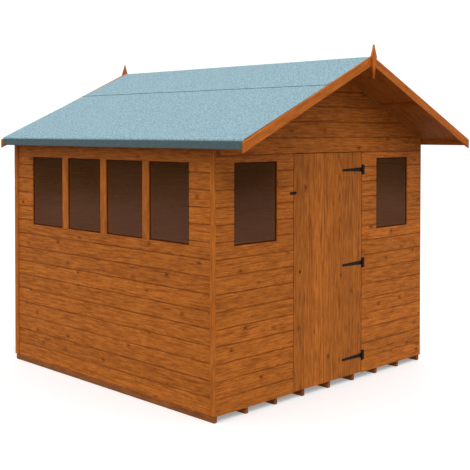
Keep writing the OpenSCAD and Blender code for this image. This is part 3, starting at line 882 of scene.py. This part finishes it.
side_over = np.concatenate([
    along_slope(side_start, felt_high[0] - FOLD - 0.002, 22, on_felt),
    fold(felt_high[0], on_felt(felt_high[0]), FOLD),
    [[felt_high[0], height] for height in
     np.linspace(on_felt(felt_high[0]) - FOLD - 0.004, turn_down + 0.001, 5)],
    [[felt_high[0] - 0.001, turn_down]],
])
side_under = np.concatenate([
    along_slope(side_start, ROOF_X - FOLD, 22, lambda out: on_felt(out) - FELT_V + 0.0001),
    fold(ROOF_X + 0.0002, on_felt(ROOF_X) - FELT_V, FOLD - FELT_T),
    [[ROOF_X + 0.0002, turn_down]],
])
felt_right = felt_sheet("felt_right_sheet", 71, side_over, side_under)
felt_left = felt_sheet("felt_left_sheet", 72, side_over * (-1, 1), side_under * (-1, 1))
print("felt", FELT_T, "thick, from", side_start, "to", felt_high[0])

# %% The sheet over the ridge
lap_out = ridge_high[0]
RAMP = 0.012


def lapped(out):
    """Height of the ridge sheet's upper face: it steps up by its own thickness on the lap."""
    step = np.clip((out - (side_start - RAMP)) / RAMP, 0, 1)
    return on_felt(out) + FELT_V * step * step * (3 - 2 * step)


half_over = np.concatenate([
    along_slope(0.004, side_start - RAMP, 12, on_felt),
    along_slope(side_start - 0.009, side_start, 4, lapped),
    along_slope(side_start + 0.010, lap_out - 0.001, 4, lapped),
    [[lap_out, lapped(lap_out) - 0.001], [lap_out, on_felt(lap_out) + 0.0001]],
])
half_under = np.concatenate([
    along_slope(0.004, side_start - RAMP, 12, lambda out: on_felt(out) - FELT_V + 0.0001),
    along_slope(side_start - 0.009, side_start - 0.0002, 4,
                lambda out: lapped(out) - FELT_V + 0.0002),
    along_slope(side_start + 0.010, lap_out - 0.001, 4, lambda out: on_felt(out) + 0.0001),
])
crown = [[0, on_felt(0.003)]]
belly = [[0, on_felt(0.0) - FELT_V + 0.0001]]
ridge_over = np.concatenate([half_over[::-1] * (-1, 1), crown, half_over])
ridge_under = np.concatenate([half_under[::-1] * (-1, 1), belly, half_under])
# The ridge sheet's lap edges are drawn near black: bitumen at a cut edge, with painted shade of the
# gap under the lap.
edges = [0, 1, len(ridge_over) - 2, len(ridge_over) - 1]
felt_ridge = felt_sheet("felt_ridge_sheet", 73, ridge_over, ridge_under, edges)

# %% [markdown]
# The felt's granules are each about a millimetre, pale blue with some white and some dark, so
# they read as a fine speckle. Below the eaves line, on the turned down face, the felt is drawn
# darker and duller. That strip is found from the height of the point.

# %% Felt finish
EAVES_LINE = on_felt(felt_high[0])
GRANULES = 620.0              # in a metre
EAVES_DARK_FROM, EAVES_DARK_FULL = 0.007, 0.013     # where the darker strip starts and is full, below the line


def felt():
    """Speckled granules, drawn as a darker, duller strip at the eaves."""
    finish = Finish("granule_felt")
    place = finish.place()
    bead = finish.add("ShaderNodeTexVoronoi", {}, Vector=place, Scale=GRANULES, out="Color")
    shade = finish.add("ShaderNodeSeparateColor", {}, bead, out="Red")
    dome = finish.add("ShaderNodeTexVoronoi", {}, Vector=place, Scale=GRANULES, out="Distance")
    mottle = finish.noise(place, 95.0, 2.0, 0.8)
    cloud = finish.noise(place, 2.4, 3.0)
    mix = shade * 0.4 + finish.range(mottle, 0.38, 0.62) * 0.6
    colour = finish.add("ShaderNodeValToRGB", {"stops": [
        (0.0, linear(82, 112, 126)), (0.35, linear(134, 167, 179)), (0.7, linear(162, 193, 204)),
        (1.0, linear(200, 220, 226))]}, mix)
    tint = finish.range(cloud, 0.3, 0.7)
    colour = finish.blend(tint * 0.22, colour, linear(150, 186, 198))
    height = finish.add("ShaderNodeSeparateXYZ", {}, place, out="Z")
    # Below the eaves line the felt is drawn darker and duller, over the turned down face.
    eaves_dark = finish.range(height, EAVES_LINE - EAVES_DARK_FULL, EAVES_LINE - EAVES_DARK_FROM,
                        1.0, 0.0)
    dull = finish.blend(shade, linear(64, 82, 86), linear(112, 132, 134))
    # Where tone is low, at the ridge sheet's lap edges, the colour goes near black: bitumen at a
    # cut edge, with painted shade under the lap.
    edge = finish.attribute("tone", out="Fac")
    colour = finish.blend(1 - edge, finish.blend(eaves_dark, colour, dull), linear(40, 50, 56))
    rough = finish.range(shade, 0.0, 1.0, 0.8, 0.95)
    bump = finish.bump(1 - dome * 1.2 + mottle * 0.6, 0.0006, 0.6)
    return finish.surface(Base_Color=colour, Roughness=rough, Specular_IOR_Level=0.2,
                          Normal=bump)


finishes["mineral_felt"] = felt()
print("bare strip starts", EAVES_DARK_FROM, "below the height", EAVES_LINE)
fit(felt_right, "shed", "mineral_felt", "felt_right")
fit(felt_left, "shed", "mineral_felt", "felt_left")
fit(felt_ridge, "shed", "mineral_felt", "felt_ridge")

# %% [markdown]
# ## Window panes
# The panes are clear plastic sheet, dark only because the room behind is dark. The frame's panes
# are right as they are, so they stay and get the finish. A pane lets about half of the light
# through and keeps a little dust. Towards its foot it is painted paler, a painted reflection of the
# ground. It has no gloss here, because gloss at a slant broke up into bright specks.

# %% Pane finish
PANE_COVER = 0.45             # share of the light that the dusty sheet stops
REFLECTION_FOOT, REFLECTION_HEAD = 1.25, 1.62       # heights between which the painted reflection fades out


def pane():
    """A dusty see-through sheet, paler towards its foot with a painted reflection of the ground."""
    finish = Finish("clear_pane")
    place = finish.place()
    film = finish.noise(finish.stretch(place, 1.5, 1.5, 5.0), 1.0, 4.0)
    height = finish.add("ShaderNodeSeparateXYZ", {}, place, out="Z")
    low = finish.range(height, REFLECTION_FOOT, REFLECTION_HEAD, 1.0, 0.0, "SMOOTHSTEP")
    # The paler colour is a painted reflection of the ground towards the foot, plus a little dust in
    # the film noise.
    colour = finish.blend(finish.range(film, 0.35, 0.65) * 0.3 + low * 0.7,
                          linear(105, 67, 35), linear(138, 94, 72))
    return finish.surface(Base_Color=colour, Specular_IOR_Level=0.0, Alpha=PANE_COVER,
                          Roughness=finish.range(film, 0.3, 0.7, 0.06, 0.16))


finishes["window_glass"] = pane()
for node in PANES:
    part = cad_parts[node]
    part.data.materials.clear()
    part.data.materials.append(finishes["window_glass"])
print("glass parts", sorted(PANES), "stop", PANE_COVER, "of the light")

# %% [markdown]
# ## Painted shadow strips
# A dark brown strip round each pane is painted shadow: it stands for the shade in the reveal of the
# opening and on the beads behind it. It shows from outside as a thin dark line round the opening.
# Each strip is four flat bars against the outer face of the pane, and the bars' places come from
# the panes' own boxes.

# %% Strips round the panes
SHADOW_BAR_W, SHADOW_BAR_T = 0.011, 0.002


def shadow_bars(timber, low, high, wide):
    """Four bars round one pane. wide is the axis along the wall, 0 at the front, 1 at the side."""
    left, right, sill, head = (low[wide] + PANE_LAP, high[wide] - PANE_LAP,
                               low[2] + PANE_LAP, high[2] - PANE_LAP)
    out = 1 - wide
    upright, level = np.array([0, 0, 1.0]), np.eye(3)[wide]
    for first, last, bottom, top, along in (
            (left, left + SHADOW_BAR_W, sill, head, upright),
            (right - SHADOW_BAR_W, right, sill, head, upright),
            (left + SHADOW_BAR_W, right - SHADOW_BAR_W, sill, sill + SHADOW_BAR_W, level),
            (left + SHADOW_BAR_W, right - SHADOW_BAR_W, head - SHADOW_BAR_W, head, level)):
        run = 2 if along[2] else wide
        across = wide if along[2] else 2
        span = {wide: (first, last), 2: (bottom, top)}
        ring = np.zeros((2, 4, 3))
        ring[..., run] = np.array(span[run])[:, None]
        ring[..., across] = np.array(span[across])[[0, 1, 1, 0]]
        ring[..., out] = low[out] - np.array([0, 0, SHADOW_BAR_T, SHADOW_BAR_T])
        timber.add(ring, along, np.eye(3)[across])


shadow_strips = Timber(81)
for node, wide in PANES.items():
    for low, high in boxes_of(node):
        shadow_bars(shadow_strips, low, high, wide)
shadow_strips = shadow_strips.build("painted_shadow_strips")
shadow_finish = Finish("painted_shadow_strip")
grit = shadow_finish.noise(shadow_finish.place(), 180.0, 3.0)
# Painted shadow: the dark browns stand for the shade in the reveal round the pane.
shadow_strips.data.materials.append(shadow_finish.surface(
    Base_Color=shadow_finish.blend(grit, linear(60, 28, 8), linear(84, 42, 14)),
    Specular_IOR_Level=0.04,
    Roughness=shadow_finish.range(grit, 0.3, 0.7, 0.5, 0.7)))
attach(shadow_strips, "shed")

# %% [markdown]
# ## Ironwork
# The hinges, the hasp and the keyhole plate are pressed steel with a black coat that is a little
# uneven. Copies of the parts get rounded edges, and the straps get
# screws whose heads are low domes.

# %% Black iron finish
def iron():
    """A black coat with the fine dimples of sprayed paint."""
    finish = Finish("black_coat")
    place = finish.place()
    orange = finish.noise(place, 420.0, 2.0)
    patch = finish.range(finish.noise(place, 38.0, 3.0), 0.35, 0.7)
    colour = finish.blend(patch, linear(16, 9, 5), linear(30, 19, 12))
    return finish.surface(Base_Color=colour, Roughness=finish.range(patch, 0, 1, 0.38, 0.55),
                          Specular_IOR_Level=0.08,
                          Normal=finish.bump(orange, 0.0002, 0.5))


finishes["black_iron"] = iron()


def iron_piece(node, name, body, width=0.0006):
    """An eased copy of a piece of ironwork."""
    piece = ease(new_piece(name, copy_part(node, name)), width)
    return fit(piece, body, "black_iron", node)


for level in ("top", "middle", "bottom"):
    iron_piece("hinge_strap_" + level, "strap_" + level, "door")
iron_piece("hinge_plates", "hinge_frame_plates", "shed")
iron_piece("hasp_plate", "hasp_door_plate", "door", 0.0004)
iron_piece("hasp_leaf", "hasp_slotted_leaf", "hasp", 0.0004)
iron_piece("hasp_staple", "hasp_wall_staple", "shed", 0.0007)
iron_piece("keyhole_plate", "keyhole_cover", "door", 0.0004)

# %% [markdown]
# ## Nails and screws
# Nails fix the wall boards to the battens behind them, one near the lower edge at each batten.
# They are only a few millimetres across, but close up a wall without them looks like plastic.
# A head is a low dome on a ten-sided rim, closed at the back inside the wood. All heads on one
# wall or board are one mesh, made by moving one head to every place at once.

# %% Heads in one array
HEAD_SIDES = 10


def heads(name, places, outward, radius, proud):
    """Domed heads at many places.

    One head is rings of points round an axis: at angle t, a ring of radius r at height h has the
    point (r cos t, r sin t, h). The places shift that one head, so all points come from one sum.
    """
    places = np.asarray(places, float)
    outward = np.asarray(outward, float)
    side = np.cross(outward, (0, 0, 1) if abs(outward[2]) < 0.9 else (1, 0, 0))
    side /= np.linalg.norm(side)
    axes = np.stack([side, np.cross(outward, side), outward])
    angle = np.arange(HEAD_SIDES) * 2 * np.pi / HEAD_SIDES
    rings = np.array([(1.0, -1.2), (1.0, 0.15), (0.82, 0.62), (0.45, 0.93)])
    wheel = np.stack([np.cos(angle), np.sin(angle)], -1) * radius
    head = np.concatenate([
        np.concatenate([np.column_stack([wheel * r, np.full(HEAD_SIDES, h * proud)])
                        for r, h in rings]),
        [[0, 0, proud], [0, 0, -1.2 * proud]]])
    points = (head @ axes)[None] + places[:, None]
    here = np.arange(HEAD_SIDES)
    ahead = np.roll(here, -1)
    walls = np.concatenate([np.stack([k + here, k + ahead, k + HEAD_SIDES + ahead,
                                      k + HEAD_SIDES + here], -1)
                            for k in np.arange(len(rings) - 1) * HEAD_SIDES])
    top, bottom = len(head) - 2, len(head) - 1
    last = (len(rings) - 1) * HEAD_SIDES
    caps = np.concatenate([np.stack([last + here, last + ahead, np.full(HEAD_SIDES, top)], -1),
                           np.stack([ahead, here, np.full(HEAD_SIDES, bottom)], -1)])
    shift = np.arange(len(places))[:, None, None] * len(head)
    faces = (walls + shift).reshape(-1, 4).tolist() + (caps + shift).reshape(-1, 3).tolist()
    mesh = bpy.data.meshes.new(name)
    mesh.from_pydata(points.reshape(-1, 3).tolist(), [], faces)
    piece = new_piece(name, mesh)
    piece.data.shade_smooth()
    return piece


def grid(first, second):
    """Every pair of two lists, as columns."""
    a, b = np.meshgrid(first, second, indexing="ij")
    return np.column_stack([a.ravel(), b.ravel()])

# %% Nails of the walls
def spotted(name, scale, first, second, smooth, rough, metallic=0.0):
    """Dull metal whose colour and roughness move together between two ends, in small spots."""
    finish = Finish(name)
    spot = finish.range(finish.noise(finish.place(), scale, 2.0), 0.35, 0.65)
    return finish.surface(Base_Color=finish.blend(spot, first, second), Metallic=metallic,
                          Roughness=finish.range(spot, 0, 1, smooth, rough))


NAIL_UP = 0.024                # height of a nail above its board's lower edge
NAIL_R, NAIL_PROUD = 0.0019, 0.0005
POST_TALL = 1.2                # a batten taller than this runs the height of its wall
courses = BASE_Z + np.arange(20) * COVER + NAIL_UP
steel = spotted("nail_heads", 300.0, linear(70, 50, 36), linear(112, 84, 60), 0.45, 0.6, 0.6)


def loose_heads(name, places, outward, radius, proud, material, body="shed"):
    """Heads with a material of their own, on a body."""
    piece = heads(name, places, outward, radius, proud)
    piece.data.materials.append(material)
    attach(piece, body)
    return piece


def wall_nails(name, spots, place, outward):
    """Nails at places given as distance along a wall and height."""
    places = place(spots[:, 0], np.zeros(len(spots)), spots[:, 1])
    return loose_heads(name, places, outward, NAIL_R, NAIL_PROUD, steel)


def post_lines(node, axis):
    """Middles of the upright battens of a frame part, along one axis."""
    return np.sort([(low + high)[axis] / 2 for low, high in boxes_of(node)
                    if (high - low)[2] > POST_TALL])


left_posts = post_lines("left_frame", 1)
right_posts = post_lines("right_frame", 1)
back_posts = post_lines("back_frame", 0)
front_posts = post_lines("front_frame", 0)
low_courses = courses[courses < SILL_Z - 0.01]
side_courses = courses[courses < under_roof(CLAD_X) - 0.02]
end_courses = courses[(courses > SILL_Z + 0.01) & (courses < LINTEL_Z - 0.01)]
end_posts = left_posts[(left_posts < windows_from) | (left_posts > windows_to)]
wall_nails("nails_left", np.concatenate([grid(left_posts, low_courses),
                                         grid(end_posts, end_courses)]), on_left, (-1, 0, 0))
wall_nails("nails_right", grid(right_posts, side_courses), on_right, (1, 0, 0))
wall_nails("nails_back", grid(back_posts, courses[courses < HEAD_Z]), on_back, (0, 1, 0))
front_spots = grid(front_posts, courses[courses < HEAD_Z - 0.02])
wall_nails("nails_front", front_spots, on_front, (0, -1, 0))
print("posts", left_posts.round(3), right_posts.round(3), back_posts.round(3),
      front_posts.round(3))

# %% Nails of the trims, the barge boards and the felt
def nails_along(start, stop, apart):
    """Places along a line, evenly apart and clear of its ends."""
    start, stop = np.asarray(start, float), np.asarray(stop, float)
    count = max(2, round(np.linalg.norm(stop - start) / apart) + 1)
    return start + (stop - start) * np.linspace(0, 1, count)[:, None]


clout = spotted("clout_heads", 240.0, linear(86, 100, 106), linear(118, 132, 138), 0.5, 0.65)

CLOUT_R, CLOUT_PROUD, CLOUT_APART = 0.0034, 0.0009, 0.15
EAVES_IN = 0.018               # a clout's height above the felt's lower edge
CLOUT_END = 0.05               # and the first one's distance from the end of the roof
for side, name in ((-1, "left"), (1, "right")):
    x = side * felt_high[0]
    z = felt_low[2] + EAVES_IN
    loose_heads("clouts_" + name, nails_along((x, ridge_low[1] + CLOUT_END, z),
                                              (x, ridge_high[1] - CLOUT_END, z), CLOUT_APART),
                (side, 0, 0), CLOUT_R, CLOUT_PROUD, clout)

BARGE_NAILS, BARGE_END = 0.42, 0.09     # apart, and in from the ends of a board
for node, way in (("barge_front_left", -1), ("barge_front_right", -1),
                  ("barge_back_left", 1), ("barge_back_right", 1)):
    low, high = corners(node)
    side = 1 if "right" in node else -1
    face = low[1] if way < 0 else high[1]
    outs = np.array([BARGE_END, max(abs(low[0]), abs(high[0])) - BARGE_END])
    middle = high[2] - SLOPE * outs - (high[2] - low[2] - SLOPE * np.ptp([low[0], high[0]])) / 2
    loose_heads("nails_" + node, nails_along((side * outs[0], face, middle[0]),
                                             (side * outs[1], face, middle[1]), BARGE_NAILS),
                (0, way, 0), NAIL_R, NAIL_PROUD, steel)

# %% Screws of the hinges and the hasp
SCREW_R, SCREW_PROUD = 0.0036, 0.0012
STRAP_HOLES = (0.012, 0.072, 0.135, 0.196)    # from a strap's tip
PLATE_IN, PLATE_HOLES = 0.011, (-0.026, 0.0, 0.026)     # in from its edge, up from its middle
HASP_IN, HASP_HOLES = 0.006, (-0.0048, 0.0048)
tip_points = arrays_of(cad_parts["hinge_strap_top"].data)[0]
strap_low = corners("hinge_strap_top")[0]
IRON_FACE = tip_points[tip_points[:, 0] < strap_low[0] + 0.05, 1].min()
plates_high = corners("hinge_plates")[1]
levels = [sum(corners("hinge_strap_" + level))[2] / 2 for level in ("top", "middle", "bottom")]
strap_spots = [(strap_low[0] + along, IRON_FACE, level) for level in levels
               for along in STRAP_HOLES]
plate_spots = [(plates_high[0] - PLATE_IN, IRON_FACE, level + up) for level in levels
               for up in PLATE_HOLES]
hasp_low, hasp_high = corners("hasp_plate")
hasp_spots = [(hasp_high[0] - HASP_IN, IRON_FACE, sum((hasp_low, hasp_high))[2] / 2 + up)
              for up in HASP_HOLES]
black = finishes["black_iron"]
loose_heads("strap_screws", strap_spots, (0, -1, 0), SCREW_R, SCREW_PROUD, black, "door")
loose_heads("plate_screws", plate_spots, (0, -1, 0), SCREW_R, SCREW_PROUD, black)
loose_heads("hasp_screws", hasp_spots, (0, -1, 0), SCREW_R / 2, SCREW_PROUD / 2, black, "door")
print("screws", len(strap_spots), len(plate_spots), "iron stands", FRONT_Y - IRON_FACE, "proud")

# %% [markdown]
# ## Floor and light
# The shed stands on a plain pale floor under an even bright sky, like a studio with white walls.
# One broad soft lamp above gives the roof a little more light than the walls.

# %% Stage
def stage_floor():
    """A wide flat sheet under the shed, as a grid of nine by nine points."""
    across = np.linspace(-30, 30, 9)
    x, y = np.meshgrid(across, across, indexing="ij")
    points = np.column_stack([x.ravel(), y.ravel(), np.full(x.size, -0.0005)])
    a, b = np.meshgrid(np.arange(8), np.arange(8), indexing="ij")
    corner = (a * 9 + b).ravel()
    faces = np.column_stack([corner, corner + 9, corner + 10, corner + 1])
    mesh = bpy.data.meshes.new("pale_floor")
    mesh.from_pydata(points.tolist(), [], faces.tolist())
    floor = bpy.data.objects.new("pale_floor", mesh)
    bpy.context.scene.collection.objects.link(floor)
    finish = Finish("pale_floor")
    mesh.materials.append(finish.surface(Base_Color=(0.9, 0.92, 0.93, 1), Roughness=0.9,
                                         Emission_Color=(1, 1, 1, 1), Emission_Strength=0.26))
    floor.visible_diffuse = False


stage_floor()

# %% Sky
BACKDROP = 1.05               # brightness of the room as the camera sees it
SKY, GROUND = 0.75, 0.13      # brightness that lights the shed, above and below the horizon
FADE = (-0.2, 0.05)           # how high a direction points where the sky starts and is full


def bright_sky():
    """A world whose light depends on how high a direction points. It falls from SKY to GROUND
    just below the horizon. The camera itself sees an even pale room."""
    world = bpy.data.worlds.new("bright_sky")
    world.use_nodes = True
    bpy.context.scene.world = world
    nodes, links = world.node_tree.nodes, world.node_tree.links
    direction = nodes.new("ShaderNodeTexCoord")
    parts = nodes.new("ShaderNodeSeparateXYZ")
    level, choice = nodes.new("ShaderNodeMapRange"), nodes.new("ShaderNodeMapRange")
    for place, value in enumerate((*FADE, GROUND, SKY), 1):
        level.inputs[place].default_value = value
    seen = nodes.new("ShaderNodeLightPath")
    choice.inputs["To Max"].default_value = BACKDROP
    links.new(direction.outputs["Generated"], parts.inputs[0])
    links.new(parts.outputs["Z"], level.inputs["Value"])
    links.new(seen.outputs["Is Camera Ray"], choice.inputs["Value"])
    links.new(level.outputs[0], choice.inputs["To Min"])
    links.new(choice.outputs[0], nodes["Background"].inputs["Strength"])
    nodes["Background"].inputs["Color"].default_value = (1, 1, 1, 1)


# %% One broad lamp
LAMP_UP, LAMP_FROM = np.radians(48), np.radians(39)   # above level, and left of the front
LAMP_WIDE, LAMP_POWER = np.radians(40), 1.3


def broad_lamp():
    """A far lamp whose light comes from a wide patch of sky, so its shadows have soft edges."""
    lamp = bpy.data.objects.new("broad_lamp", bpy.data.lights.new("broad_lamp", "SUN"))
    lamp.data.energy = LAMP_POWER
    lamp.data.angle = LAMP_WIDE
    lamp.rotation_euler = (np.pi / 2 - LAMP_UP, 0, -LAMP_FROM)
    bpy.context.scene.collection.objects.link(lamp)


broad_lamp()
bright_sky()
print("sky", SKY, "over ground", GROUND, "and a lamp of", LAMP_POWER)
bpy.context.scene.view_settings.view_transform = "Standard"
